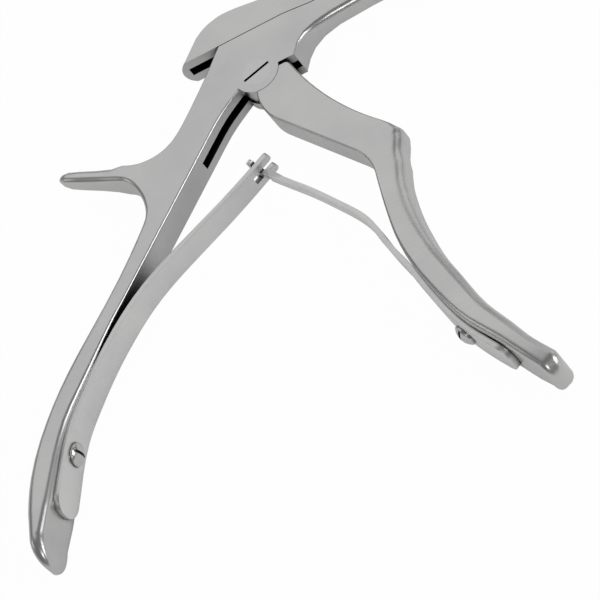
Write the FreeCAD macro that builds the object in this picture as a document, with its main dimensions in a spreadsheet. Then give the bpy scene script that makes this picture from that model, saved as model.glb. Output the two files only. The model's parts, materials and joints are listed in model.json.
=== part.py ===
import FreeCAD
import Part
import math
import os

from FreeCAD import Placement, Rotation, Vector

# Bone punch with sliding upper shaft, all lengths in millimetres, drawn with the handles open.
# Origin: on the pivot axis, in the plane of the lower flat side of the body.
# +X runs along the shaft to the jaw, +Y away from the handles, +Z across the thickness.

os.makedirs("parts", exist_ok=True)
doc = FreeCAD.newDocument("BonePunch")
sheet = doc.addObject("Spreadsheet::Sheet", "Sizes")

SIZES = [
    ("body_thickness", 7.0),
    ("fork_slot_width", 2.3),
    ("running_clearance", 0.05),
    ("knuckle_radius", 5.1),
    ("shoulder_clearance", 0.12),
    ("seam_height", 11.2),
    ("seam_gap", 0.2),
    ("closing_angle", 34.0),
    ("drive_pin_height", 14.2),
    ("drive_pin_diameter", 2.0),
    ("drive_pin_cover", 0.9),
    ("lever_fork_play", 0.16),
    ("lever_fork_wall", 1.5),
    ("lever_tip_radius", 15.9),
    ("lever_disc_radius", 4.7),
    ("pivot_head_diameter", 6.5),
    ("pivot_head_depth", 1.6),
    ("pivot_shank_diameter", 4.2),
    ("screwdriver_slot_width", 0.6),
    ("screwdriver_slot_depth", 0.8),
    ("shaft_width", 5.2),
    ("shaft_tip_width", 4.2),
    ("shaft_tip_depth", 3.4),
    ("shaft_underside_radius", 1.5),
    ("working_reach", 180.0),
    ("jaw_height", 3.8),
    ("foot_thickness", 1.8),
    ("bite_clearance", 0.1),
    ("cup_rim", 0.7),
    ("cup_depth", 3.0),
    ("slider_tail_height", 7.9),
    ("slider_tip_height", 3.6),
    ("slider_tail_bulge", 1.7),
    ("slider_edge_radius", 1.2),
    ("lever_slot_end_wall", 1.7),
    ("rail_length", 10.0),
    ("rail_neck_width", 1.3),
    ("rail_neck_height", 1.0),
    ("rail_head_width", 2.4),
    ("rail_head_height", 0.8),
    ("rail_clearance", 0.08),
    ("rail_end_play", 0.3),
    ("rear_rail_start", 24.0),
    ("front_rail_setback", 30.0),
    ("handle_edge_radius", 0.45),
    ("back_edge_radius", 1.2),
    ("grip_thickness", 12.0),
    ("grip_edge_radius", 1.8),
    ("spring_thickness", 1.2),
    ("spring_root_width", 8.0),
    ("spring_tip_width", 5.4),
    ("spring_end_radius", 3.4),
    ("spring_neck_width", 1.4),
    ("neck_length_below_fork", 2.4),
    ("slit_behind_crossing", 2.4),
    ("fork_gap", 2.0),
    ("cross_bar_width", 6.6),
    ("cross_bar_depth", 1.1),
    ("cross_bar_lift", 0.45),
    ("spring_screw_head_diameter", 5.0),
    ("spring_screw_head_height", 1.5),
    ("spring_screw_shank_diameter", 2.4),
    ("spring_screw_depth", 3.2),
]

for row, (alias, value) in enumerate(SIZES, start=1):
    sheet.set("A%d" % row, alias)
    sheet.set("B%d" % row, str(value))
    sheet.setAlias("B%d" % row, alias)
doc.recompute()
size = {alias: float(sheet.get(alias)) for alias, value in SIZES}

half = size["body_thickness"] / 2
seam = size["seam_height"]
knuckle = size["knuckle_radius"]
swing = math.radians(size["closing_angle"] / 2)
travel = 2 * size["drive_pin_height"] * math.tan(swing)
pinX = -travel / 2
footFace = size["working_reach"] - size["foot_thickness"]
sliderTip = footFace - travel - size["bite_clearance"]
sliderFloor = seam + size["seam_gap"]
zAxis = Vector(0, 0, 1)


def vec(point):
    return Vector(point[0], point[1], 0)


def onCircle(radius, degrees, centre=(0.0, 0.0)):
    angle = math.radians(degrees)
    return (centre[0] + radius * math.cos(angle), centre[1] + radius * math.sin(angle))


def heading(degrees):
    return vec(onCircle(1.0, degrees))


def headingOf(start, end):
    return math.degrees(math.atan2(end[1] - start[1], end[0] - start[0]))


def along(start, end, distance):
    # the point that lies the given distance from start towards end
    step = (vec(end) - vec(start)).normalize() * distance
    return (start[0] + step.x, start[1] + step.y)


def line(start, end):
    return Part.LineSegment(vec(start), vec(end))


def arc(start, middle, end):
    return Part.Arc(vec(start), vec(middle), vec(end))


def cornerArc(before, corner, after, run):
    # arc that rounds the corner between two straight runs and touches each of them at the given length
    start = along(corner, before, run)
    end = along(corner, after, run)
    chordMiddle = (vec(start) + vec(end)) / 2
    rise = (chordMiddle - vec(corner)).Length
    radius = run * (vec(end) - chordMiddle).Length / rise
    middle = along(corner, chordMiddle, math.sqrt(radius ** 2 + run ** 2) - radius)
    return arc(start, middle, end)


def circle(centre, diameter):
    return Part.Circle(vec(centre), zAxis, diameter / 2)


def curve(points, start=None, end=None):
    # smooth curve through the points, leaving and arriving at the given headings in degrees
    spline = Part.BSplineCurve()
    if start is None or end is None:
        spline.interpolate([vec(p) for p in points])
    else:
        spline.interpolate(Points=[vec(p) for p in points], InitialTangent=heading(start),
                           FinalTangent=heading(end))
    return spline


def polygon(points):
    closed = points[1:] + points[:1]
    return [line(a, b) for a, b in zip(points, closed)]


def rectangle(left, right, low, high):
    return polygon([(left, low), (right, low), (right, high), (left, high)])


def roundedRectangle(left, right, halfWidth, leftRadius, rightRadius):
    # rectangle about the local x axis, with corners of one radius on the left and another on the right
    geometry = []
    low, high = -halfWidth, halfWidth
    corners = [(left, low, leftRadius, 225), (right, low, rightRadius, 315),
               (right, high, rightRadius, 45), (left, high, leftRadius, 135)]
    ends = []
    for x, y, radius, middle in corners:
        centre = (x + radius * (1 if x == left else -1), y + radius * (1 if y == low else -1))
        points = [onCircle(radius, middle + turn, centre) for turn in (-45, 0, 45)]
        geometry.append(arc(*points))
        ends.append((points[0], points[2]))
    for index in range(4):
        geometry.append(line(ends[index - 1][1], ends[index][0]))
    return geometry


def archSection(flatEdge, roundEdge, halfWidth, radius):
    # section with two sharp corners at flatEdge and two rounded ones at roundEdge, local x across
    side = 1 if roundEdge > flatEdge else -1
    cx = roundEdge - side * radius
    diagonal = radius * math.sqrt(0.5)
    inner = halfWidth - radius
    return [
        line((flatEdge, -halfWidth), (cx, -halfWidth)),
        arc((cx, -halfWidth), (cx + side * diagonal, -inner - diagonal), (roundEdge, -inner)),
        line((roundEdge, -inner), (roundEdge, inner)),
        arc((roundEdge, inner), (cx + side * diagonal, inner + diagonal), (cx, halfWidth)),
        line((cx, halfWidth), (flatEdge, halfWidth)),
        line((flatEdge, halfWidth), (flatEdge, -halfWidth)),
    ]


def acrossPlane(origin, across):
    # plane standing on the point: local x runs along across, local y along the thickness
    u = Vector(across[0], across[1], 0).normalize()
    return Placement(vec(origin), Rotation(u, zAxis, u.cross(zAxis), "XYZ"))


def raised(height):
    return Placement(Vector(0, 0, height), Rotation())


def originPlane(body):
    return [f for f in body.Origin.OriginFeatures if f.Role == "XY_Plane"][0]


def newBody(label):
    body = doc.addObject("PartDesign::Body", label)
    body.Label = label
    body.setExpression("Placement.Base.z", "Sizes.body_thickness / 2")
    return body


def sketch(body, name, geometry, offset=None):
    drawing = body.newObject("Sketcher::SketchObject", name)
    drawing.AttachmentSupport = [(originPlane(body), "")]
    drawing.MapMode = "FlatFace"
    if offset is not None:
        drawing.AttachmentOffset = offset
    drawing.addGeometry(geometry, False)
    return drawing


def pad(body, name, geometry, length, offset=None, midplane=True):
    drawing = sketch(body, name + "Profile", geometry, offset)
    feature = body.newObject("PartDesign::Pad", name)
    feature.Profile = drawing
    feature.setExpression("Length", length)
    feature.Midplane = midplane
    return feature


def cut(body, name, geometry, length=None, offset=None, midplane=True):
    # pocket of the given length, an expression or a number, or through everything without one
    drawing = sketch(body, name + "Profile", geometry, offset)
    feature = body.newObject("PartDesign::Pocket", name)
    feature.Profile = drawing
    if length is None:
        feature.Type = "ThroughAll"
    elif isinstance(length, str):
        feature.setExpression("Length", length)
    else:
        feature.Length = length
    feature.Midplane = midplane
    return feature


def loft(body, name, sections, ruled=False):
    # sections are pairs of plane and outline, in order
    drawings = [sketch(body, "%sSection%d" % (name, i), geometry, plane)
                for i, (plane, geometry) in enumerate(sections)]
    feature = body.newObject("PartDesign::AdditiveLoft", name)
    feature.Profile = drawings[0]
    feature.Sections = drawings[1:]
    feature.Ruled = ruled
    return feature


def roundEdges(body, name, base, radius, chosen):
    doc.recompute()
    names = ["Edge%d" % (i + 1) for i, edge in enumerate(base.Shape.Edges) if chosen(edge)]
    feature = body.newObject("PartDesign::Fillet", name)
    feature.Base = (base, names)
    feature.setExpression("Radius", radius)
    return feature


def middleOf(edge):
    return edge.valueAt((edge.FirstParameter + edge.LastParameter) / 2)


def onSideFace(edge):
    # true where the whole edge lies in one of the two flat sides of the plate
    box = edge.BoundBox
    return box.ZLength < 0.01 and abs(abs(middleOf(edge).z) - half) < 0.01


def touches(edge, points):
    # true where the edge passes through one of the plane points
    spots = [Part.Vertex(Vector(p[0], p[1], middleOf(edge).z)) for p in points]
    return any(edge.distToShape(spot)[0] < 0.05 for spot in spots)


def gripSections(stations):
    # stations: inner point, outer point, half thickness, inner and outer edge radius
    sections = []
    for inner, outer, halfWidth, innerRadius, outerRadius in stations:
        depth = (vec(outer) - vec(inner)).Length
        plane = acrossPlane(inner, (outer[0] - inner[0], outer[1] - inner[1]))
        sections.append((plane, roundedRectangle(0.0, depth, halfWidth, innerRadius, outerRadius)))
    return sections


def smoothStations(stations, last):
    # two more stations between each pair up to the numbered one, on smooth lines through the given points
    lines = [curve([station[side] for station in stations]) for side in (0, 1)]
    spots = [[line.parameter(vec(station[side])) for station in stations] for side, line in enumerate(lines)]
    result = []
    for index, station in enumerate(stations[:last]):
        result.append(station)
        for part in (1 / 3, 2 / 3):
            points = []
            for line, spot in zip(lines, spots):
                place = line.value(spot[index] + (spot[index + 1] - spot[index]) * part)
                points.append((place.x, place.y))
            sizes = [a + (b - a) * part for a, b in zip(station[2:], stations[index + 1][2:])]
            result.append((*points, *sizes))
    return result + stations[last:]


# Fixed handle: body with fork slot, spur, rear grip and lower shaft with the foot, one forging
backTop = (-6.9, seam)
innerTop = onCircle(knuckle, 205)
straightStart = (-14.7, -11.0)
neckInner = (-41.0, -39.2)
neckHeading = headingOf(straightStart, neckInner)
neckDepth = 4.2
neckOuter = onCircle(neckDepth, neckHeading - 90, neckInner)
shoulderY = -0.4
shoulderX = 8.9
shoulderStart = (math.sqrt(knuckle ** 2 - shoulderY ** 2), shoulderY)
spurLow = (-35.9, -9.4)
spurHigh = (-34.05, -6.2)
spurHeading = headingOf(spurLow, spurHigh) + 90
backCorner = (-31.7, -19.3)

fixed = newBody("fixed_handle")
outline = [
    line(backTop, (shoulderX, seam)),
    line((shoulderX, seam), (shoulderX, shoulderY)),
    line((shoulderX, shoulderY), shoulderStart),
    arc(shoulderStart, onCircle(knuckle, 285), innerTop),
    curve([innerTop, (-10.1, -6.3), straightStart], 216, neckHeading),
    line(straightStart, neckInner),
    line(neckInner, neckOuter),
    curve([neckOuter, (-36.2, -27.2), (-33.5, -23.7), backCorner], neckHeading + 180, 86),
    curve([backCorner, (-32.5, -14.2), spurLow], 86, spurHeading),
    line(spurLow, spurHigh),
    curve([spurHigh, (-31.3, -7.5), (-24.6, -7.6), (-18.0, -2.6), (-11.2, 5.4), backTop], spurHeading + 180, 54),
]
fixedPlate = pad(fixed, "FixedPlate", outline, "Sizes.body_thickness")
frontSide = roundEdges(fixed, "FixedEdges", fixedPlate, "Sizes.handle_edge_radius",
                       lambda e: onSideFace(e) and touches(e, [(-28.0, -25.27), (-18.0, -2.6)]))
roundEdges(fixed, "BackEdges", frontSide, "Sizes.back_edge_radius",
           lambda e: onSideFace(e) and touches(e, [backCorner]))

gripHalf = size["grip_thickness"] / 2
edge = size["handle_edge_radius"]
backEdge = size["back_edge_radius"]
gripEdge = size["grip_edge_radius"]
rearStations = smoothStations([
    (neckInner, neckOuter, half, edge, backEdge),
    ((-44.7, -43.3), (-48.1, -40.7), half + 0.2, 0.6, 1.3),
    ((-52.2, -53.0), (-56.4, -49.8), half + 0.75, 0.8, 1.5),
    ((-58.6, -61.8), (-63.2, -59.2), half + 1.35, 1.2, 1.7),
    ((-63.3, -72.6), (-69.0, -71.0), gripHalf - 0.4, 1.5, gripEdge + 0.2),
    ((-66.0, -79.6), (-71.0, -78.9), gripHalf, 1.6, gripEdge + 0.3),
    ((-68.1, -84.3), (-71.6, -84.0), gripHalf - 0.2, 1.5, 1.6),
    ((-69.1, -88.0), (-71.4, -87.7), gripHalf - 1.2, 1.05, 1.05),
    ((-69.4, -89.8), (-70.9, -89.6), gripHalf - 2.9, 0.7, 0.7),
    ((-69.9, -90.8), (-70.5, -90.7), gripHalf - 4.9, 0.28, 0.28),
], 5)
loft(fixed, "RearGrip", gripSections(rearStations), ruled=True)

# spur: a finger that thins towards its round end, each station at its distance from the root
spurMiddle = along(spurLow, spurHigh, (vec(spurHigh) - vec(spurLow)).Length / 2)
spurStations = [(spurLow, spurHigh, half, backEdge, edge)]
for distance, depth, halfWidth, radius in [
    (3.0, 3.2, 2.95, 1.2),
    (7.0, 3.0, 2.6, 1.3),
    (11.5, 2.9, 2.35, 1.25),
    (14.4, 2.65, 2.1, 1.15),
    (16.1, 1.9, 1.5, 0.85),
    (16.9, 0.9, 0.7, 0.35),
]:
    centre = onCircle(distance, spurHeading, spurMiddle)
    lowPoint = onCircle(depth / 2, spurHeading + 90, centre)
    highPoint = onCircle(depth / 2, spurHeading - 90, centre)
    spurStations.append((lowPoint, highPoint, halfWidth, radius, radius))
loft(fixed, "Spur", gripSections(spurStations), ruled=True)

# lower shaft: it grows out of the shoulder, then runs straight to the jaw
shaftHalf = size["shaft_width"] / 2
tipHalf = size["shaft_tip_width"] / 2
under = size["shaft_underside_radius"]
shaftFloor = seam - size["shaft_tip_depth"]
shaftStart = 27.0
shaftStartFloor = 6.2
rootStations = [
    (shoulderX, shoulderY, half, edge),
    (10.3, 1.9, half - 0.15, 0.7),
    (12.2, 3.7, shaftHalf + 0.5, 1.0),
    (15.0, 4.9, shaftHalf + 0.15, under - 0.2),
    (19.0, 5.7, shaftHalf, under),
    (shaftStart, shaftStartFloor, shaftHalf, under),
]
loft(fixed, "ShaftRoot", [(acrossPlane((x, 0.0), (0.0, 1.0)), archSection(seam, floor, width, radius))
                          for x, floor, width, radius in rootStations], ruled=True)
shaftEnds = [(shaftStart, shaftStartFloor, shaftHalf), (footFace, shaftFloor, tipHalf)]
loft(fixed, "Shaft", [(acrossPlane((x, 0.0), (0.0, 1.0)), archSection(seam, floor, width, under))
                      for x, floor, width in shaftEnds], ruled=True)

# foot of the jaw: a thin upright plate with a rounded nose
reach = size["working_reach"]
jawTop = seam + size["jaw_height"]
noseRadius = 1.0
footOutline = [
    line((footFace, shaftFloor), (footFace, jawTop)),
    line((footFace, jawTop), (reach - noseRadius, jawTop)),
    arc((reach - noseRadius, jawTop), onCircle(noseRadius, 45, (reach - noseRadius, jawTop - noseRadius)),
        (reach, jawTop - noseRadius)),
    line((reach, jawTop - noseRadius), (reach, seam)),
    curve([(reach, seam), (reach - 0.5, shaftFloor + 1.2), (footFace, shaftFloor)], 270, 180),
]
pad(fixed, "Foot", footOutline, "Sizes.shaft_tip_width")

# fork slot for the lever, open at the seam, at the shoulder and along the upper inner edge
slotPoints = [(-16.4, -15.2), (-19.8, -11.4), (-9.2, -0.1), (-8.0, 5.2), (-8.0, seam + 1),
              (shoulderX - 0.1, seam + 1), (shoulderX - 0.1, -8.0)]
cut(fixed, "ForkSlot", polygon(slotPoints), "Sizes.fork_slot_width")
cut(fixed, "PivotBore", [circle((0, 0), size["pivot_shank_diameter"])])
cut(fixed, "HeadRecess", [circle((0, 0), size["pivot_head_diameter"])], "Sizes.pivot_head_depth",
    raised(half), midplane=False)


# guide rails of T section: the slider hangs on them and enters the groove from behind
play = size["rail_clearance"]
endPlay = size["rail_end_play"]
entry = size["rail_length"] + 2 * endPlay
neckHalf = size["rail_neck_width"] / 2
headHalf = size["rail_head_width"] / 2
railHeadTop = sliderFloor - size["rail_neck_height"]
railHeadFloor = railHeadTop - size["rail_head_height"]
railStarts = [("Rear", size["rear_rail_start"]),
              ("Front", sliderTip - size["front_rail_setback"] - size["rail_length"])]
for place, start in railStarts:
    grooveStart = start - endPlay
    grooveEnd = start + size["rail_length"] + travel + endPlay
    plane = acrossPlane((grooveEnd, 0.0), (0.0, 1.0))
    entryPlane = acrossPlane((grooveStart, 0.0), (0.0, 1.0))
    neckSlot = rectangle(railHeadTop, seam + 1, -neckHalf - play, neckHalf + play)
    headSlot = rectangle(railHeadFloor - play, railHeadTop + play, -headHalf - play, headHalf + play)
    entrySlot = rectangle(railHeadFloor - play, seam + 1, -headHalf - play, headHalf + play)
    grooveLength = grooveEnd - grooveStart + entry
    cut(fixed, place + "GrooveNeck", neckSlot, grooveLength, plane, midplane=False)
    cut(fixed, place + "GrooveHead", headSlot, grooveLength, plane, midplane=False)
    cut(fixed, place + "Entry", entrySlot, entry, entryPlane, midplane=False)

# Front handle: flat arm with a concave shoulder, grip, and the thin lever that drives the slider
shoulderRadius = knuckle + size["shoulder_clearance"]
armStart = onCircle(shoulderRadius, -11)
armEnd = onCircle(shoulderRadius, -104)
frontInner = (17.85, -38.5)
frontOuter = (24.7, -38.5)
upperBend = (-1.9, -10.2)
lowerBend = (frontInner[0], -34.3)
upperRun = (vec(armEnd) - vec(upperBend)).Length
lowerRun = (vec(frontInner) - vec(lowerBend)).Length
front = newBody("front_handle")
armOutline = [
    arc(armStart, onCircle(shoulderRadius, -57), armEnd),
    cornerArc(armEnd, upperBend, lowerBend, upperRun),
    line(along(upperBend, lowerBend, upperRun), along(lowerBend, upperBend, lowerRun)),
    cornerArc(upperBend, lowerBend, frontInner, lowerRun),
    line(frontInner, frontOuter),
    curve([frontOuter, (25.0, -35.5), (26.1, -32.2)], 90, 80),
    curve([(26.1, -32.2), (26.25, -31.2), (25.9, -30.3)], 80, 138),
    arc((25.9, -30.3), (14.9, -17.45), (7.6, -2.2)),
    curve([(7.6, -2.2), (7.1, -1.35), (6.3, armStart[1])], 108, 180),
    line((6.3, armStart[1]), armStart),
]
frontPlate = pad(front, "FrontArm", armOutline, "Sizes.body_thickness")
upperTangent = along(upperBend, lowerBend, upperRun)
roundEdges(front, "FrontEdges", frontPlate, "Sizes.handle_edge_radius",
           lambda e: onSideFace(e) and touches(e, [upperTangent, (14.9, -17.45)]))
frontStations = smoothStations([
    (frontInner, frontOuter, half, edge, edge),
    ((17.7, -43.0), (23.9, -43.0), half + 0.15, 0.55, 0.6),
    ((17.7, -49.0), (23.5, -48.9), half + 0.5, 0.7, 0.9),
    ((18.0, -55.5), (23.9, -55.0), half + 0.85, 0.8, 1.2),
    ((19.6, -64.6), (25.6, -63.3), half + 1.3, 1.0, 1.6),
    ((22.5, -73.9), (28.3, -71.6), gripHalf - 0.6, 1.3, gripEdge + 0.2),
    ((26.6, -83.3), (31.4, -80.7), gripHalf - 0.1, 1.5, gripEdge + 0.2),
    ((31.2, -90.2), (35.0, -87.5), gripHalf, 1.6, gripEdge),
    ((34.8, -96.1), (38.5, -93.9), gripHalf - 0.3, 1.6, 1.7),
    ((37.2, -99.6), (41.2, -97.6), gripHalf - 0.9, 1.5, 1.6),
    ((38.7, -101.5), (41.9, -100.6), gripHalf - 1.9, 1.2, 1.3),
    ((39.5, -102.2), (41.4, -101.8), gripHalf - 3.2, 0.8, 0.8),
    ((40.0, -102.8), (40.9, -102.6), gripHalf - 4.8, 0.35, 0.35),
], 8)
loft(front, "FrontGrip", gripSections(frontStations), ruled=True)

# lever: disc on the pivot, straight sides, fork round the drive pin, leaning back at rest
lean = math.degrees(swing)
pinRadius = size["drive_pin_diameter"] / 2
forkHalf = pinRadius + size["lever_fork_play"]
leverHalf = forkHalf + size["lever_fork_wall"]
disc = size["lever_disc_radius"]
tip = size["lever_tip_radius"]


def leverPoint(x, y):
    turn = math.radians(lean)
    return (x * math.cos(turn) - y * math.sin(turn), x * math.sin(turn) + y * math.cos(turn))


def onLeverCircle(x, radius):
    return leverPoint(x, math.sqrt(radius ** 2 - x ** 2))


forkFloor = size["drive_pin_height"] - size["lever_fork_play"]
tipMiddle = (forkHalf + leverHalf) / 2
leverOutline = [
    line(onLeverCircle(leverHalf, disc), onLeverCircle(leverHalf, tip)),
    arc(onLeverCircle(leverHalf, tip), onLeverCircle(tipMiddle, tip), onLeverCircle(forkHalf, tip)),
    line(onLeverCircle(forkHalf, tip), leverPoint(forkHalf, forkFloor)),
    arc(leverPoint(forkHalf, forkFloor), leverPoint(0, forkFloor - forkHalf),
        leverPoint(-forkHalf, forkFloor)),
    line(leverPoint(-forkHalf, forkFloor), onLeverCircle(-forkHalf, tip)),
    arc(onLeverCircle(-forkHalf, tip), onLeverCircle(-tipMiddle, tip), onLeverCircle(-leverHalf, tip)),
    line(onLeverCircle(-leverHalf, tip), onLeverCircle(-leverHalf, disc)),
    arc(onLeverCircle(-leverHalf, disc), leverPoint(0, -disc), onLeverCircle(leverHalf, disc)),
]
leverThickness = "Sizes.fork_slot_width - 2 * Sizes.running_clearance"
pad(front, "Lever", leverOutline, leverThickness)
webOuter = shoulderRadius + 1.5
webInner = disc - 1.0
webFrom, webMiddle, webTo = -100, -58, -16
webOutline = [
    line(onCircle(webInner, webFrom), onCircle(webOuter, webFrom)),
    arc(onCircle(webOuter, webFrom), onCircle(webOuter, webMiddle), onCircle(webOuter, webTo)),
    line(onCircle(webOuter, webTo), onCircle(webInner, webTo)),
    arc(onCircle(webInner, webTo), onCircle(webInner, webMiddle), onCircle(webInner, webFrom)),
]
pad(front, "LeverWeb", webOutline, leverThickness)
bore = size["pivot_shank_diameter"] + 2 * size["running_clearance"]
cut(front, "LeverBore", [circle((0, 0), bore)])

# Slider: upper shaft with a bulging tail, a slot for the lever and two guide rails underneath
slider = newBody("slider")
tailHeight = size["slider_tail_height"]
bulge = size["slider_tail_bulge"]
tailEnd = -14.9
tailLean = 5.4 / 6.5


def tailSection(height):
    # plan of the tail at a height above its floor: local x back along the shaft, local y across
    back = tailEnd + tailLean * height
    return [
        arc((back, half), (back - bulge, 0), (back, -half)),
        line((back, -half), (shoulderX, -half)),
        line((shoulderX, -half), (shoulderX, half)),
        line((shoulderX, half), (back, half)),
    ]


def level(height):
    return Placement(Vector(0, height, 0), Rotation(Vector(1, 0, 0), Vector(0, 0, -1), Vector(0, 1, 0), "XYZ"))


tailTop = sliderFloor + tailHeight + 1.0
loft(slider, "Tail", [(level(sliderFloor), tailSection(0.0)), (level(tailTop), tailSection(tailHeight + 1.0))],
     ruled=True)
crownBack = -9.2
crownStart = (-20.0, sliderFloor + tailHeight - 3.3)
crownEnd = (shoulderX + 1, sliderFloor + tailHeight - 1.9)
crown = [crownStart, (crownBack, sliderFloor + tailHeight - 0.9), (-4.8, sliderFloor + tailHeight - 0.2),
         (4.6, sliderFloor + tailHeight - 1.25), crownEnd]
cut(slider, "TailCrown", [curve(crown, 28, -5), line(crownEnd, (crownEnd[0], tailTop + 1)),
                          line((crownEnd[0], tailTop + 1), (crownStart[0], tailTop + 1)),
                          line((crownStart[0], tailTop + 1), crownStart)])
sliderEdge = size["slider_edge_radius"]
sliderTop = sliderFloor + tailHeight - 1.75
tipTop = sliderFloor + size["slider_tip_height"]
sliderStations = [
    (shoulderX, sliderTop, half, 0.3),
    (10.3, sliderTop - 0.1, half - 0.15, 0.5),
    (12.2, sliderTop - 0.25, shaftHalf + 0.5, 0.7),
    (15.0, sliderTop - 0.5, shaftHalf + 0.15, 0.9),
    (19.0, sliderTop - 0.8, shaftHalf, sliderEdge),
    (shaftStart, sliderTop - 1.3, shaftHalf, sliderEdge),
]
loft(slider, "SliderRoot", [(acrossPlane((x, 0.0), (0.0, 1.0)), archSection(sliderFloor, top, width, radius))
                            for x, top, width, radius in sliderStations], ruled=True)
tipFraction = (sliderTip - shaftStart) / (footFace - shaftStart)
sliderTipHalf = shaftHalf + (tipHalf - shaftHalf) * tipFraction
sliderEnds = [(shaftStart, sliderTop - 1.3, shaftHalf), (sliderTip, tipTop, sliderTipHalf)]
loft(slider, "SliderShaft",
     [(acrossPlane((x, 0.0), (0.0, 1.0)), archSection(sliderFloor, top, width, sliderEdge))
      for x, top, width in sliderEnds], ruled=True)

# cup behind the cutting edge of the slider
rim = size["cup_rim"]
cupPlane = acrossPlane((sliderTip, 0.0), (0.0, 1.0))
cupFloor = sliderFloor + rim
cut(slider, "Cup", roundedRectangle(cupFloor, tipTop - rim, sliderTipHalf - rim, 0.3, sliderEdge - 0.5),
    "Sizes.cup_depth", cupPlane, midplane=False)

# slot for the lever, blind bore for the drive pin
slotTop = size["lever_tip_radius"] + 0.4
leverSlot = rectangle(tailEnd - bulge + size["lever_slot_end_wall"], pinX + 4.9, sliderFloor - 1, slotTop)
cut(slider, "LeverSlot", leverSlot, "Sizes.fork_slot_width")
pinCentre = (pinX, size["drive_pin_height"])
pinLength = "Sizes.body_thickness - Sizes.drive_pin_cover"
cut(slider, "PinBore", [circle(pinCentre, size["drive_pin_diameter"])], pinLength,
    raised(half - size["drive_pin_cover"]), midplane=False)

for place, start in railStarts:
    neck = rectangle(railHeadTop - 0.01, sliderFloor, -neckHalf, neckHalf)
    head = rectangle(railHeadFloor, railHeadTop, -headHalf, headHalf)
    plane = acrossPlane((start, 0.0), (0.0, 1.0))
    pad(slider, place + "RailNeck", neck, "Sizes.rail_length", plane, midplane=False)
    pad(slider, place + "RailHead", head, "Sizes.rail_length", plane, midplane=False)

# Drive pin: plain pin through the slot of the slider, on which the lever's fork pulls
drivePin = newBody("drive_pin")
pad(drivePin, "DrivePin", [circle(pinCentre, size["drive_pin_diameter"])], pinLength, raised(-half),
    midplane=False)

# Pivot screw: flush slotted head on the upper side, shank through the lever and the body
pivotScrew = newBody("pivot_screw")
pad(pivotScrew, "PivotShank", [circle((0, 0), size["pivot_shank_diameter"])], "Sizes.body_thickness")
pad(pivotScrew, "PivotHead", [circle((0, 0), size["pivot_head_diameter"])], "Sizes.pivot_head_depth",
    raised(half - size["pivot_head_depth"]), midplane=False)
slotHalf = size["screwdriver_slot_width"] / 2
slotReach = size["pivot_head_diameter"] / 2 + 1
slotTurn = Placement(Vector(0, 0, half), Rotation(zAxis, 17))
cut(pivotScrew, "PivotScrewSlot", rectangle(-slotReach, slotReach, -slotHalf, slotHalf),
    "Sizes.screwdriver_slot_depth", slotTurn, midplane=False)

# Return springs: two leaves screwed to the grips, a cross bar of one hooked in the fork of the other.
# Each leaf is drawn as a foot clamped to the grip and a blade that bends, here about one line.
leafHalf = size["spring_thickness"] / 2
crossing = (-6.0, -22.3)
rearTipHeading = 30.5
frontTipHeading = 128.3
rearHinge = (-44.6, -45.5)
frontHinge = (17.9, -61.7)


def seatOn(station):
    # middle of a leaf that lies on the inner face of the grip at this station
    inner, outer = station[0], station[1]
    return along(inner, (2 * inner[0] - outer[0], 2 * inner[1] - outer[1]), leafHalf)


rearSeat = [seatOn(station) for station in rearStations[15:5:-1]]
frontSeat = [seatOn(station) for station in frontStations[18:11:-1]]
rearMiddle = curve([*rearSeat, (-45.0, -45.9), (-36.4, -38.5), (-25.3, -32.3), (-14.9, -27.2),
                    crossing, onCircle(9.0, rearTipHeading, crossing)])
frontMiddle = curve([(32.2, -93.1), *frontSeat,
                     (15.7, -55.8), (13.1, -47.6), (8.3, -40.0), (2.9, -32.9), (-1.8, -27.4),
                     crossing, onCircle(8.0, frontTipHeading, crossing)])


def leafOutline(middle, first, last, roundStart=False):
    # closed outline of a leaf along its middle line, between two parameters of that line
    steps = 12
    left = []
    right = []
    for index in range(steps + 1):
        place = first + (last - first) * index / steps
        tangent = middle.tangent(place)[0]
        normal = Vector(-tangent.y, tangent.x, 0) * leafHalf
        left.append(middle.value(place) + normal)
        right.append(middle.value(place) - normal)
    if roundStart:
        nose = middle.value(first) - middle.tangent(first)[0] * leafHalf
        opening = Part.Arc(right[0], nose, left[0])
    else:
        opening = Part.LineSegment(right[0], left[0])
    return [opening, curve(left), Part.LineSegment(left[-1], right[-1]), curve(right[::-1])]


def stepAlong(middle, start, distance):
    # parameter of the point that lies the given length along the line from a start parameter
    return middle.parameterAtDistance(distance, start)


rearHingeAt = rearMiddle.parameter(vec(rearHinge))
frontHingeAt = frontMiddle.parameter(vec(frontHinge))
rearCrossAt = rearMiddle.parameter(vec(crossing))
frontCrossAt = frontMiddle.parameter(vec(crossing))
hingeGap = leafHalf + size["running_clearance"]
forkReach = 3.4
barStart = leafHalf + size["cross_bar_lift"]
barEnd = barStart + size["cross_bar_depth"]
neckStart = -(leafHalf + size["neck_length_below_fork"])


taperRoot = -75.0
outside = 12.0


def taperLeaf(body, name, tipY):
    # the leaf narrows from its root towards its tip
    wide = size["spring_root_width"] / 2
    narrow = size["spring_tip_width"] / 2
    sides = []
    for side in (1, -1):
        sides += polygon([(taperRoot, side * wide), (tipY, side * narrow), (tipY, side * outside),
                          (taperRoot, side * outside)])
    cut(body, name, sides, None, acrossPlane((0.0, 0.0), (0.0, 1.0)))


def springFoot(label, middle, hingeAt):
    body = newBody(label)
    last = stepAlong(middle, hingeAt, -hingeGap)
    leaf = pad(body, label + "Leaf", leafOutline(middle, middle.FirstParameter, last), "Sizes.spring_root_width")
    freeEnd = middle.value(middle.FirstParameter)
    roundEdges(body, label + "End", leaf, "Sizes.spring_end_radius",
               lambda e: abs(e.Length - 2 * leafHalf) < 0.01 and abs(middleOf(e).z) > leafHalf
               and (middleOf(e) - Vector(freeEnd.x, freeEnd.y, middleOf(e).z)).Length < leafHalf)
    return body


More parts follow.
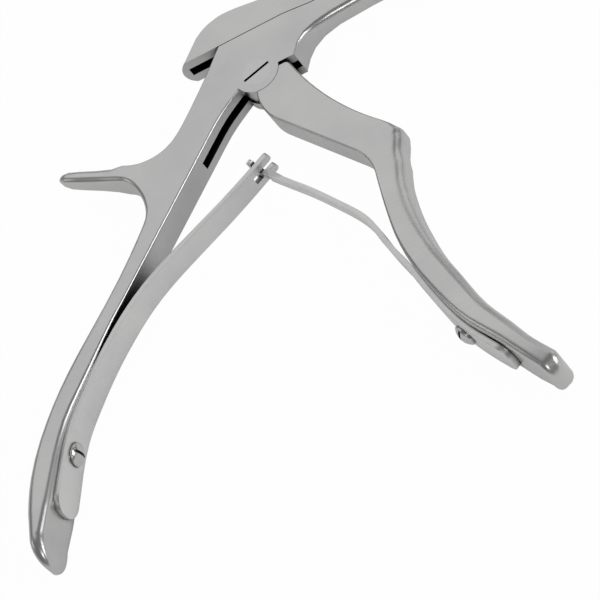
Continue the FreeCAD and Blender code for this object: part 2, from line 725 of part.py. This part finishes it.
def springBlade(label, middle, hingeAt, last):
    body = newBody(label)
    pad(body, label + "Leaf", leafOutline(middle, hingeAt, last, roundStart=True), "Sizes.spring_root_width")
    return body


rearFoot = springFoot("rear_spring_foot", rearMiddle, rearHingeAt)
taperLeaf(rearFoot, "RearFootTaper", crossing[1])
rearBlade = springBlade("rear_spring_blade", rearMiddle, rearHingeAt,
                        stepAlong(rearMiddle, rearCrossAt, forkReach))
taperLeaf(rearBlade, "RearBladeTaper", crossing[1] + 3)
gapHalf = size["fork_gap"] / 2
slitRoot = -size["slit_behind_crossing"]
cut(rearBlade, "ForkGap", rectangle(slitRoot, forkReach + 1, -gapHalf, gapHalf), None,
    acrossPlane(crossing, onCircle(1.0, rearTipHeading)))

frontFoot = springFoot("front_spring_foot", frontMiddle, frontHingeAt)
taperLeaf(frontFoot, "FrontFootTaper", crossing[1])
frontBlade = springBlade("front_spring_blade", frontMiddle, frontHingeAt,
                         stepAlong(frontMiddle, frontCrossAt, barEnd))
taperLeaf(frontBlade, "FrontBladeTaper", crossing[1])
springNeck = size["spring_neck_width"] / 2
barHalf = size["cross_bar_width"] / 2
tipPlane = acrossPlane(crossing, onCircle(1.0, frontTipHeading))
neckCuts = []
for side in (1, -1):
    neckCuts += polygon([(neckStart, side * springNeck), (barStart, side * springNeck), (barStart, side * barHalf),
                         (barEnd + 1, side * barHalf), (barEnd + 1, side * outside), (neckStart, side * outside)])
cut(frontBlade, "BarNeck", neckCuts, None, tipPlane)

screwSeats = [
    ("rear", fixed, rearFoot, rearMiddle, (-60.9, -66.7)),
    ("front", front, frontFoot, frontMiddle, (25.7, -81.6)),
]
headRadius = size["spring_screw_head_diameter"] / 2
headHeight = size["spring_screw_head_height"]
shankRadius = size["spring_screw_shank_diameter"] / 2
rimHeight = 0.5
domeRise = headHeight - rimHeight
domeRadius = (domeRise ** 2 + headRadius ** 2) / (2 * domeRise)
domeMiddle = (headHeight - domeRadius + math.sqrt(domeRadius ** 2 - (headRadius / 2) ** 2), headRadius / 2)
screwBodies = []
for place, handle, footBody, middle, near in screwSeats:
    at = middle.parameter(vec(near))
    tangent = middle.tangent(at)[0]
    inward = Vector(tangent.y, -tangent.x, 0) if place == "rear" else Vector(-tangent.y, tangent.x, 0)
    axisPlane = Placement(middle.value(at) + inward * leafHalf, Rotation(inward, zAxis.cross(inward), zAxis, "XYZ"))
    end = -size["spring_thickness"] - size["spring_screw_depth"]
    screw = newBody(place + "_spring_screw")
    profile = [
        line((end, 0), (end, shankRadius)),
        line((end, shankRadius), (0, shankRadius)),
        line((0, shankRadius), (0, headRadius)),
        line((0, headRadius), (rimHeight, headRadius)),
        arc((rimHeight, headRadius), domeMiddle, (headHeight, 0)),
        line((headHeight, 0), (end, 0)),
    ]
    drawing = sketch(screw, place + "ScrewProfile", profile, axisPlane)
    turned = screw.newObject("PartDesign::Revolution", place + "ScrewTurned")
    turned.Profile = drawing
    turned.ReferenceAxis = (drawing, ["H_Axis"])
    turned.Angle = 360
    slotPlane = Placement(middle.value(at) + inward * (leafHalf + headHeight),
                          Rotation(zAxis.cross(inward), zAxis, zAxis.cross(inward).cross(zAxis), "XYZ"))
    cut(screw, place + "ScrewSlot", rectangle(-slotHalf, slotHalf, -headRadius - 1, headRadius + 1),
        "2 * Sizes.screwdriver_slot_depth", slotPlane)
    holePlane = Placement(middle.value(at), slotPlane.Rotation)
    cut(footBody, place + "ScrewHole", [circle((0, 0), 2 * shankRadius + 2 * size["running_clearance"])],
        "2 * Sizes.spring_thickness", holePlane)
    cut(footBody, place + "HeadSeat", [circle((0, 0), 2 * headRadius + 2 * size["running_clearance"])],
        "Sizes.spring_screw_head_height", slotPlane, midplane=False)
    cut(handle, place + "ThreadHole", [circle((0, 0), 2 * shankRadius)],
        2 * (leafHalf + size["spring_screw_depth"]), holePlane)
    screwBodies.append(screw)

pieces = [fixed, pivotScrew, rearFoot, screwBodies[0], rearBlade,
          front, frontFoot, screwBodies[1], frontBlade, slider, drivePin]
doc.recompute()
failed = [item.Name for item in doc.Objects if "Invalid" in item.State or "Error" in item.State]
if failed:
    raise RuntimeError("features failed: " + ", ".join(failed))
for piece in pieces:
    if piece.Shape.isNull() or not piece.Shape.isValid():
        raise RuntimeError(piece.Label + " has no valid shape")
for piece in pieces:
    piece.Shape.exportStep("parts/%s.step" % piece.Label)
    print(piece.Label, len(piece.Shape.Solids), round(piece.Shape.Volume, 2))
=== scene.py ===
import bpy
import bmesh
import json
import math
from mathutils import Matrix, Vector


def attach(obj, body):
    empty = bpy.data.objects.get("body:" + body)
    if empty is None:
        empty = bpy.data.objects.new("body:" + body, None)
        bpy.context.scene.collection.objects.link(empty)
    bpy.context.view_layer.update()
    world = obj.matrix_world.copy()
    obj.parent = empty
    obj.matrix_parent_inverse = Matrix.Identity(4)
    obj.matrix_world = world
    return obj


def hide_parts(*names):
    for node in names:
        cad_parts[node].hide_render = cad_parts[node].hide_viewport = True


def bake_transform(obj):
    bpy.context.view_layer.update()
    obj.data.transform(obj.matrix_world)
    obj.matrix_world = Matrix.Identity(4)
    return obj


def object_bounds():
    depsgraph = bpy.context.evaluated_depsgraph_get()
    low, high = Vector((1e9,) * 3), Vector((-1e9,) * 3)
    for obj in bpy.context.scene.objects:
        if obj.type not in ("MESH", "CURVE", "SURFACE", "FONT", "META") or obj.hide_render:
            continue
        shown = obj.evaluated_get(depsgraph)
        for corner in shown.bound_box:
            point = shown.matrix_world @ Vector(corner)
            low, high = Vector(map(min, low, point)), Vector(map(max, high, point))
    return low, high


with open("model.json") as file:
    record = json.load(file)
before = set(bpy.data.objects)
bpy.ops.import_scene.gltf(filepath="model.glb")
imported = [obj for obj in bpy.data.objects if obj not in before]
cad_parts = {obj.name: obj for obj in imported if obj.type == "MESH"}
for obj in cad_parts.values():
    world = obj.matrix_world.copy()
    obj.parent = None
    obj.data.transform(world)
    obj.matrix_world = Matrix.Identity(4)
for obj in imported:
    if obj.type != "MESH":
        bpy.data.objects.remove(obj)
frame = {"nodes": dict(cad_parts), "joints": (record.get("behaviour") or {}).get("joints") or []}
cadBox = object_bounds()
nodes = frame["nodes"]
mm = 0.001  # the sizes below are in millimetres
print("frame loaded:", len(nodes), "nodes")


# Materials

def fromHex(code):
    # sRGB hex colour to linear
    values = [int(code[i:i + 2], 16) / 255 for i in (1, 3, 5)]
    linear = [v / 12.92 if v <= 0.04045 else ((v + 0.055) / 1.055) ** 2.4 for v in values]
    return (*linear, 1.0)


def addNode(tree, kind, links=None, **settings):
    # one node with its settings; links gives input name or number -> output socket or plain value
    node = tree.nodes.new(kind)
    for name, value in settings.items():
        setattr(node, name, value)
    for key, value in (links or {}).items():
        if isinstance(value, bpy.types.NodeSocket):
            tree.links.new(value, node.inputs[key])
        else:
            node.inputs[key].default_value = value
    return node


def newMaterial(name):
    material = bpy.data.materials.new(name)
    material.use_nodes = True
    material.node_tree.nodes.clear()
    return material, material.node_tree


satinSteel = {  # forged stainless steel, glass-bead satin: even grey, soft sheen, no visible direction
    "colour": "#cdcdcc",
    "stain": "#c5c5c5",
    "paintedShade": "#141414",  # painted shade: near-black colour laid where parts meet and little light gets in
    "roughness": 0.3,
    "beadSize": 0.3,  # the real pits are near 0.05 mm wide, drawn coarser so that they show
    "beadDepth": 0.0035,
    "beadStrength": 0.12,
    "beltLength": 9.0,  # last traces of the belt that shaped the forging
    "beltWidth": 0.5,
    "cloudSize": 16.0,
    "paintedShadeReach": 6.0,
    "paintedShadeFull": 0.3,  # share of open sky round a point at which the painted shade is full, and at which it has faded out
    "paintedShadeFaded": 0.56,
}
# rolled spring steel of the leaves
satinSpring = {**satinSteel, "roughness": 0.42, "colour": "#e2e2e1", "stain": "#dadada"}
# fine-turned stainless steel of the screws and the pin
turnedSteel = {**satinSteel, "roughness": 0.22, "beltLength": 1.5}


def satinSteelMaterial(name, look, turn=0.0):
    material, tree = newMaterial(name)
    place = addNode(tree, "ShaderNodeTexCoord").outputs["Object"]
    beltAcross = 1 / (look["beltWidth"] * mm)
    beltPlace = addNode(tree, "ShaderNodeMapping", {
        "Vector": place,
        "Rotation": (0.0, 0.0, math.radians(turn)),
        "Scale": (1 / (look["beltLength"] * mm), beltAcross, beltAcross),
    }).outputs["Vector"]
    belt = addNode(tree, "ShaderNodeTexNoise", {
        "Vector": beltPlace, "Scale": 1.0, "Detail": 2.0}).outputs["Fac"]
    bead = addNode(tree, "ShaderNodeTexNoise", {
        "Vector": place, "Scale": 1 / (look["beadSize"] * mm), "Detail": 2.0}).outputs["Fac"]
    cloud = addNode(tree, "ShaderNodeTexNoise", {
        "Vector": place, "Scale": 1 / (look["cloudSize"] * mm),
        "Detail": 4.0, "Roughness": 0.55}).outputs["Fac"]
    mottle = addNode(tree, "ShaderNodeMapRange", {
        "Value": cloud, "From Min": 0.35, "From Max": 0.65, "To Min": 0.0, "To Max": 1.0}).outputs["Result"]
    unshadedTone = addNode(tree, "ShaderNodeMix", {
        "Factor": mottle, "A": fromHex(look["stain"]), "B": fromHex(look["colour"])}, data_type="RGBA")
    # painted shade: the colour is darkened towards near black where ambient occlusion finds little open sky
    # round a point
    shadeProbe = addNode(tree, "ShaderNodeAmbientOcclusion", {"Distance": look["paintedShadeReach"] * mm}, samples=8)
    light = addNode(tree, "ShaderNodeMapRange", {
        "Value": shadeProbe.outputs["AO"], "From Min": look["paintedShadeFull"], "From Max": look["paintedShadeFaded"],
        "To Min": 0.0, "To Max": 1.0})
    colour = addNode(tree, "ShaderNodeMix", {
        "Factor": light.outputs["Result"], "A": fromHex(look["paintedShade"]), "B": unshadedTone.outputs["Result"]},
        data_type="RGBA")
    roughness = addNode(tree, "ShaderNodeMapRange", {
        "Value": belt, "From Min": 0.3, "From Max": 0.7,
        "To Min": look["roughness"] - 0.02, "To Max": look["roughness"] + 0.03}).outputs["Result"]
    bump = addNode(tree, "ShaderNodeBump", {
        "Height": bead, "Strength": look["beadStrength"],
        "Distance": look["beadDepth"] * mm}).outputs["Normal"]
    shader = addNode(tree, "ShaderNodeBsdfPrincipled", {
        "Base Color": colour.outputs["Result"], "Metallic": 1.0, "Roughness": roughness, "Normal": bump})
    addNode(tree, "ShaderNodeOutputMaterial", {"Surface": shader.outputs["BSDF"]})
    return material


steelBody = satinSteelMaterial("beadBlastedSteel", satinSteel, 60)
steelSpring = satinSteelMaterial("satinSpringSteel", satinSpring, 40)
steelScrew = satinSteelMaterial("turnedScrewSteel", turnedSteel)
print("materials made")


# Pieces

flatAngle = math.radians(0.6)  # faces that meet flatter than this become one face
cornerAngle = math.radians(32)  # edges sharper than this get a small broken edge
smoothAngle = math.radians(38)  # edges sharper than this stay visible in the shading


def copyOfNode(name):
    # merged copy of a CAD node
    bm = bmesh.new()
    bm.from_mesh(nodes[name].data)
    bmesh.ops.remove_doubles(bm, verts=bm.verts, dist=0.002 * mm)
    return bm


def cutAcross(bm, point, direction, clearOuter=False):
    geometry = bm.verts[:] + bm.edges[:] + bm.faces[:]
    return bmesh.ops.bisect_plane(bm, geom=geometry, dist=1e-7, plane_co=point, plane_no=direction,
                                  clear_outer=clearOuter)["geom_cut"]


roundEnds = {  # middle of the grip where its end begins, its tip and the way it runs there, in mm
    "fixedHandle": {"start": (-69.85, -84.15, 3.5), "tip": (-70.2, -90.9, 3.5), "run": (-0.22, -0.975, 0.0)},
    "frontHandle": {"start": (38.9, -98.1, 3.5), "tip": (39.8, -101.8, 3.5), "run": (0.42, -0.91, 0.0)},
}
endRings = 12


def roundEnd(bm, look):
    # the plain end is cut off and drawn out again ring by ring as a dome
    start = Vector(look["start"]) * mm
    run = Vector(look["run"]).normalized()
    way = Vector(look["tip"]) * mm - start
    reach = way.dot(run)
    lean = way - run * reach  # the tip lies this far beside the straight run
    cutAcross(bm, start, run, clearOuter=True)
    middle, width = start, 1.0
    for ring in range(1, endRings + 1):
        angle = math.radians(90 * ring / endRings)
        bmesh.ops.extrude_edge_only(bm, edges=[edge for edge in bm.edges if edge.is_boundary])
        rim = list({vert for edge in bm.edges if edge.is_boundary for vert in edge.verts})
        nextMiddle = start + run * reach * math.sin(angle) + lean * math.sin(angle) ** 2
        nextWidth = max(math.cos(angle), 0.02)
        bmesh.ops.scale(bm, verts=rim, vec=[nextWidth / width] * 3, space=Matrix.Translation(-middle))
        bmesh.ops.translate(bm, verts=rim, vec=nextMiddle - middle)
        middle, width = nextMiddle, nextWidth
    bmesh.ops.pointmerge(bm, verts=rim, merge_co=middle)


def joinFlatFaces(bm):
    bmesh.ops.dissolve_limit(bm, angle_limit=flatAngle, verts=bm.verts, edges=bm.edges)


def breakEdges(bm, width):
    # small broken edge along every sharp edge
    joinFlatFaces(bm)
    sharp = [edge for edge in bm.edges
             if len(edge.link_faces) == 2 and edge.calc_face_angle(0) > cornerAngle]
    bmesh.ops.bevel(bm, geom=sharp, offset=width * mm, offset_type="OFFSET", affect="EDGES",
                    segments=2, profile=0.5, material=-1, clamp_overlap=True)


def makePiece(bm, name, material, replaced):
    for edge in bm.edges:
        edge.smooth = len(edge.link_faces) == 2 and edge.calc_face_angle(0) < smoothAngle
    for face in bm.faces:
        face.smooth = True
    mesh = bpy.data.meshes.new(name)
    bm.to_mesh(mesh)
    bm.free()
    piece = bpy.data.objects.new(name, mesh)
    bpy.context.scene.collection.objects.link(piece)
    mesh.materials.append(material)
    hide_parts(*replaced)
    print("piece", name, len(mesh.polygons), "faces")
    return piece


tailCorner = {  # upper back corner of the slider's tail: its arc in mm and the way each cut faces
    "middle": (-4.34, 9.93),
    "radius": 9.0,
    "angles": (104, 110, 116, 122, 128),
}


def roundTail(bm, look):
    # flat cuts round the upper back corner, each one closed again
    for angle in look["angles"]:
        way = Vector((math.cos(math.radians(angle)), math.sin(math.radians(angle)), 0.0))
        point = (Vector((*look["middle"], 0.0)) + way * look["radius"]) * mm
        cut = cutAcross(bm, point, way, clearOuter=True)
        rim = [item for item in cut if isinstance(item, bmesh.types.BMEdge)]
        bmesh.ops.holes_fill(bm, edges=rim, sides=0)


crownedBack = {  # outer side of the front handle, in mm: y and x of its outline, half thickness, share, push
    "outline": [(-27.2, 23.4, 3.5, 0.0, 0.0), (-29.2, 24.9, 3.5, 0.25, 0.1), (-31.6, 26.4, 3.5, 1.0, 0.65),
                (-36.0, 24.9, 3.5, 1.0, 0.45), (-43.0, 23.9, 3.65, 1.0, 0.5), (-49.0, 23.5, 4.0, 1.0, 0.2),
                (-55.0, 23.9, 4.35, 0.8, 0.0), (-63.3, 25.6, 4.8, 0.4, 0.0), (-71.6, 28.3, 5.5, 0.0, 0.0)],
    "radius": 2.4,
    "middle": 3.5,
    "skin": 1.3,  # how far from the outline a face still belongs to the outer side
    "steepest": 0.9,  # faces that look further up or down than this are the flat sides
    "depth": 5.0,  # the shift fades out to this distance
    "cutFrom": 1.1,
    "cutStep": 0.15,
    "cuts": 24,
}


def outlineAt(y, outline):
    # values between the two nearest rows, none beyond the ends
    for above, below in zip(outline, outline[1:]):
        if below[0] <= y <= above[0]:
            part = (above[0] - y) / (above[0] - below[0])
            return [a + (b - a) * part for a, b in zip(above[1:], below[1:])]
    return None


def crown(bm, look):
    # the outer side is cut into narrow strips, whose points then move inwards as on a round bar
    def place(point, depth):
        found = outlineAt(point.y / mm, look["outline"])
        return found if found and point.x / mm > found[0] - depth else None

    for step in range(look["cuts"]):
        for side in (-1, 1):
            height = look["middle"] + side * (look["cutFrom"] + look["cutStep"] * step)
            faces = [face for face in bm.faces if abs(face.normal.z) < look["steepest"]
                     and place(face.calc_center_median(), look["skin"])]
            edges = {edge for face in faces for edge in face.edges}
            verts = {vert for face in faces for vert in face.verts}
            bmesh.ops.bisect_plane(bm, geom=[*verts, *edges, *faces], dist=1e-7,
                                   plane_co=(0, 0, height * mm), plane_no=(0, 0, 1))
    for vert in bm.verts:
        found = place(vert.co, look["depth"])
        if found:
            outer, half, share, push = found
            across = abs(vert.co.z / mm - look["middle"]) - (half - look["radius"])
            across = min(max(across, 0.0), look["radius"])
            drop = look["radius"] - math.sqrt(look["radius"] ** 2 - across ** 2)
            fade = 1 - min(max(outer - vert.co.x / mm, 0.0), look["depth"]) / look["depth"]
            vert.co.x -= (drop * share + push) * fade * mm


solidPieces = {  # new piece: CAD node, body, material, slot, width of the broken edge
    "fixedHandle": ("fixed_handle", "frame", steelBody, "forged_steel", 0.07),
    "frontHandle": ("front_handle", "front_handle", steelBody, "forged_steel", 0.07),
    "upperSlider": ("slider", "slider", steelBody, "forged_steel", 0.06),
    "pivotScrew": ("pivot_screw", "frame", steelScrew, "screw_steel", 0.06),
    "rearSpringScrew": ("rear_spring_screw", "frame", steelScrew, "screw_steel", 0.06),
    "frontSpringScrew": ("front_spring_screw", "front_handle", steelScrew, "screw_steel", 0.06),
    "drivePin": ("drive_pin", "slider", steelScrew, "screw_steel", 0.06),
}
for name, (source, body, material, slot, edgeWidth) in solidPieces.items():
    bm = copyOfNode(source)
    if name in roundEnds:
        roundEnd(bm, roundEnds[name])
    if name == "upperSlider":
        roundTail(bm, tailCorner)
    if name == "frontHandle":
        joinFlatFaces(bm)
        crown(bm, crownedBack)
    breakEdges(bm, edgeWidth)
    piece = makePiece(bm, name, material, [source])
    even = piece.modifiers.new("evenNormals", "WEIGHTED_NORMAL")  # large flat faces stay evenly lit
    even.keep_sharp = True
    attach(piece, body)


# Leaf springs: each one leaf, made from the copies of its foot and its blade, cut across at steps round the
# hinge

leafSprings = {  # foot, blade, body of the foot, body of the blade, bend in mm before and after the hinge
    "rearLeafSpring": ("rear_spring_foot", "rear_spring_blade", "frame", "rear_spring", 6.0, 9.0),
    "frontLeafSpring": ("front_spring_foot", "front_spring_blade", "front_handle", "front_spring", 2.5, 9.0),
}
leafLook = {"thickness": 1.2, "joinBefore": 0.8, "joinAfter": 0.1, "edge": 0.12, "bendCuts": 10}
tipLook = {"rearLeafSpring": {"depth": 1.5, "radius": 0.75}, "frontLeafSpring": {"depth": 2.5, "radius": 0.4}}
tipAngle = math.radians(60)  # the corners of a tip are sharper than this
# places along y between which the front leaf gets slimmer, and the middle of its width in z
narrowLeaf = {"from": -62.0, "to": -42.0, "neck": -24.9, "share": 0.4, "middle": 3.5}
hinges = {joint["child"]: Vector(joint["pos_m"]) for joint in frame["joints"] if joint["type"] == "hinge"}


def roundTips(bm, hinge, run, look):
    # the corners at the free tip are rounded over the leaf's thickness
    def ahead(edge):
        return ((edge.verts[0].co + edge.verts[1].co) / 2 - hinge).dot(run)

    far = max((vert.co - hinge).dot(run) for vert in bm.verts)
    corners = [edge for edge in bm.edges if abs(edge.calc_length() - leafLook["thickness"] * mm) < 0.1 * mm
               and ahead(edge) > far - look["depth"] * mm and edge.calc_face_angle(0) > tipAngle]
    bmesh.ops.bevel(bm, geom=corners, offset=look["radius"] * mm, offset_type="OFFSET", affect="EDGES",
                    segments=5, profile=0.5, material=-1, clamp_overlap=True)


def narrow(bm, look):
    # the front leaf gets slimmer towards its tip, up to the neck of the cross bar
    for vert in bm.verts:
        y, z = vert.co.y / mm, vert.co.z / mm
        if y < look["neck"]:
            part = min(max((y - look["from"]) / (look["to"] - look["from"]), 0.0), 1.0)
            share = 1 + (look["share"] - 1) * part
            vert.co.z = (look["middle"] + (z - look["middle"]) * share) * mm


for name, (foot, blade, footBody, bladeBody, before, after) in leafSprings.items():
    hinge = hinges[bladeBody]
    footCopy = copyOfNode(foot)
    bladeCopy = copyOfNode(blade)
    flatEnd = min(footCopy.faces, key=lambda face: (face.calc_center_median().xy - hinge.xy).length)
    run = Vector((flatEnd.normal.x, flatEnd.normal.y, 0)).normalized()  # along the leaf, from foot to blade
    cutAcross(footCopy, hinge - run * leafLook["joinBefore"] * mm, run, clearOuter=True)
    cutAcross(bladeCopy, hinge + run * leafLook["joinAfter"] * mm, -run, clearOuter=True)
    leafMesh = bpy.data.meshes.new(name + "Halves")
    bladeCopy.to_mesh(leafMesh)
    footCopy.from_mesh(leafMesh)
    bladeCopy.free()
    bpy.data.meshes.remove(leafMesh)
    bmesh.ops.bridge_loops(footCopy, edges=[edge for edge in footCopy.edges if edge.is_boundary])
    bmesh.ops.recalc_face_normals(footCopy, faces=footCopy.faces)
    joinFlatFaces(footCopy)
    roundTips(footCopy, hinge, run, tipLook[name])
    if name == "frontLeafSpring":
        narrow(footCopy, narrowLeaf)
    breakEdges(footCopy, leafLook["edge"])
    for step in range(leafLook["bendCuts"] + 1):
        place = -before + (before + after) * step / leafLook["bendCuts"]
        cutAcross(footCopy, hinge + run * place * mm, run)
    piece = makePiece(footCopy, name, steelSpring, [foot, blade])
    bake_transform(piece)


# Floor, light and camera

floorLook = {"size": 6.0, "colour": "#f4f4f4", "seenWhite": 0.98, "mirroredWhite": 0.38}
floorMesh = bpy.data.meshes.new("floor")
bm = bmesh.new()
bmesh.ops.create_grid(bm, x_segments=1, y_segments=1, size=floorLook["size"] / 2)
bmesh.ops.translate(bm, verts=bm.verts, vec=(0, 0, cadBox[0][2]))
bm.to_mesh(floorMesh)
bm.free()
floor = bpy.data.objects.new("floor", floorMesh)
bpy.context.scene.collection.objects.link(floor)
material, tree = newMaterial("paperFloor")
rays = addNode(tree, "ShaderNodeLightPath").outputs
mirrored = addNode(tree, "ShaderNodeMath", {
    0: rays["Is Glossy Ray"], 1: floorLook["mirroredWhite"]}, operation="MULTIPLY")
share = addNode(tree, "ShaderNodeMath", {
    0: rays["Is Camera Ray"], 1: floorLook["seenWhite"], 2: mirrored.outputs[0]}, operation="MULTIPLY_ADD")
paper = addNode(tree, "ShaderNodeBsdfDiffuse", {"Color": fromHex(floorLook["colour"])})
glow = addNode(tree, "ShaderNodeEmission", {"Color": (1, 1, 1, 1), "Strength": 1.0})
mixed = addNode(tree, "ShaderNodeMixShader", {0: share.outputs[0], 1: paper.outputs[0], 2: glow.outputs[0]})
addNode(tree, "ShaderNodeOutputMaterial", {"Surface": mixed.outputs[0]})
floorMesh.materials.append(material)

domeLook = {"colour": "#cacaca", "strength": 0.35}
world = bpy.data.worlds.new("studio")
bpy.context.scene.world = world
world.use_nodes = True
tree = world.node_tree
tree.nodes.clear()
dome = addNode(tree, "ShaderNodeBackground", {
    "Color": fromHex(domeLook["colour"]), "Strength": domeLook["strength"]})
addNode(tree, "ShaderNodeOutputWorld", {"Surface": dome.outputs[0]})

lamps = {  # name: direction from the pivot, distance and width in metres, brightness of the panel
    "overheadPanel": ((-0.2, 0.66, 0.72), 1.1, 1.1, 0.61),
    "cameraStrip": ((0.0, -0.75, 0.66), 0.9, 0.25, 4.3),
    "leftPanel": ((-0.9, 0.1, 0.4), 0.9, 0.3, 1.0),
    "farPanel": ((0.68, 0.6, 0.42), 1.1, 0.8, 0.6),
    "rightPanel": ((0.8, -0.35, 0.45), 0.9, 0.45, 3.6),
}
for name, (direction, distance, width, brightness) in lamps.items():
    light = bpy.data.lights.new(name, "AREA")
    light.size = width
    light.energy = brightness * math.pi * width ** 2
    lamp = bpy.data.objects.new(name, light)
    lamp.location = Vector(direction).normalized() * distance
    lamp.rotation_euler = (-lamp.location).to_track_quat("-Z", "Y").to_euler()
    bpy.context.scene.collection.objects.link(lamp)

view = {  # the photograph's view: places in the frame's millimetres
    "place": (136.9, -425.97, 478.49),
    "aim": (-4.56, -59.52, 7.0),
    "roll": -42.66,
    "lens": 185.7,
}
cameraData = bpy.data.cameras.new("camera")
cameraData.lens = view["lens"]
cameraData.sensor_width = 36.0
cameraData.clip_start = 0.01
camera = bpy.data.objects.new("camera", cameraData)
sight = Vector(view["aim"]) - Vector(view["place"])
roll = Matrix.Rotation(math.radians(view["roll"]), 4, "Z")
turn = sight.to_track_quat("-Z", "Y").to_matrix().to_4x4() @ roll
camera.matrix_world = Matrix.Translation(Vector(view["place"]) * mm) @ turn
bpy.context.scene.collection.objects.link(camera)
bpy.context.scene.camera = camera
bpy.context.scene.view_settings.view_transform = "Standard"
print("stage, lamps and camera set")
